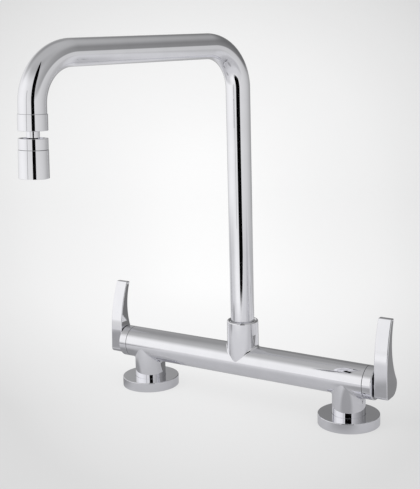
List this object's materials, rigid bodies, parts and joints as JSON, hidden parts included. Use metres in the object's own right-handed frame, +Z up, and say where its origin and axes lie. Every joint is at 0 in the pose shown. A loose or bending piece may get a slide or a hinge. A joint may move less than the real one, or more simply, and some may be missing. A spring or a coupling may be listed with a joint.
{
  "type": "kitchen mixer tap",
  "caption": "Deck-mounted bridge kitchen mixer with a lever valve at each end, a tall square swivel spout and a ball-jointed spray head.",
  "frame": {"origin": "on the deck, midway between the axes of the two inlets", "axes": "+Z up, +X along the bridge towards the lever on the user's right, -Y towards the user"},
  "size_m": [0.2746, 0.238, 0.3154],
  "materials": {
    "chrome": "polished",
    "brass": "machined",
    "rubber": "matte",
    "ceramic": "ground ceramic",
    "white_plastic": "matte",
    "steel": "stainless"
  },
  "bodies": {
    "bridge": {"bridge_body": "chrome", "left_flange": "chrome", "left_flange_ring": "rubber", "left_deck_gasket": "rubber", "left_headwork": "brass", "left_face_ring": "rubber", "left_seat_seal": "rubber", "left_fixed_disc": "ceramic", "right_flange": "chrome", "right_flange_ring": "rubber", "right_deck_gasket": "rubber", "right_headwork": "brass", "right_face_ring": "rubber", "right_seat_seal": "rubber", "right_fixed_disc": "ceramic", "spout_thrust_washer": "white_plastic", "spout_glide_ring": "white_plastic", "spout_keeper_screw": "steel"},
    "left_handle": {"left_lever": "chrome", "left_lever_screw": "steel", "left_spindle": "brass", "left_moving_disc": "ceramic", "left_spindle_rings": "rubber", "left_spindle_clip": "steel"},
    "right_handle": {"right_lever": "chrome", "right_lever_screw": "steel", "right_spindle": "brass", "right_moving_disc": "ceramic", "right_spindle_rings": "rubber", "right_spindle_clip": "steel"},
    "spout": {"spout_tube": "chrome", "spout_tail": "brass", "spout_tail_rings": "rubber", "outlet_nipple": "brass", "swivel_collar": "chrome", "collar_washer": "rubber"},
    "swivel": {"ball_stem": "chrome"},
    "spray_head": {"ring_nut": "chrome", "ball_cup": "white_plastic", "cup_seal": "rubber", "spray_sleeve": "chrome", "aerator_seal": "rubber", "aerator_insert": "white_plastic", "aerator_diffuser": "white_plastic", "aerator_screens": "steel"}
  },
  "joints": [
    {"name": "spout_swivel", "type": "hinge", "parent": "bridge", "child": "spout", "pos_m": [0, 0, 0.06], "axis": [0, 0, 1], "continuous": true},
    {"name": "left_lever_turn", "type": "hinge", "parent": "bridge", "child": "left_handle", "pos_m": [-0.117, 0, 0.038], "axis": [1, 0, 0], "range_deg": [0, 90]},
    {"name": "right_lever_turn", "type": "hinge", "parent": "bridge", "child": "right_handle", "pos_m": [0.117, 0, 0.038], "axis": [1, 0, 0], "range_deg": [0, 90]},
    {"name": "spray_spin", "type": "hinge", "parent": "spout", "child": "swivel", "pos_m": [-0.04259, -0.20039, 0.25528], "axis": [0.0087, 0.041, 0.9991], "continuous": true},
    {"name": "spray_tilt", "type": "hinge", "parent": "swivel", "child": "spray_head", "pos_m": [-0.04271, -0.20093, 0.24199], "axis": [0.9781, -0.2079, 0], "range_deg": [-15, 15]}
  ]
}
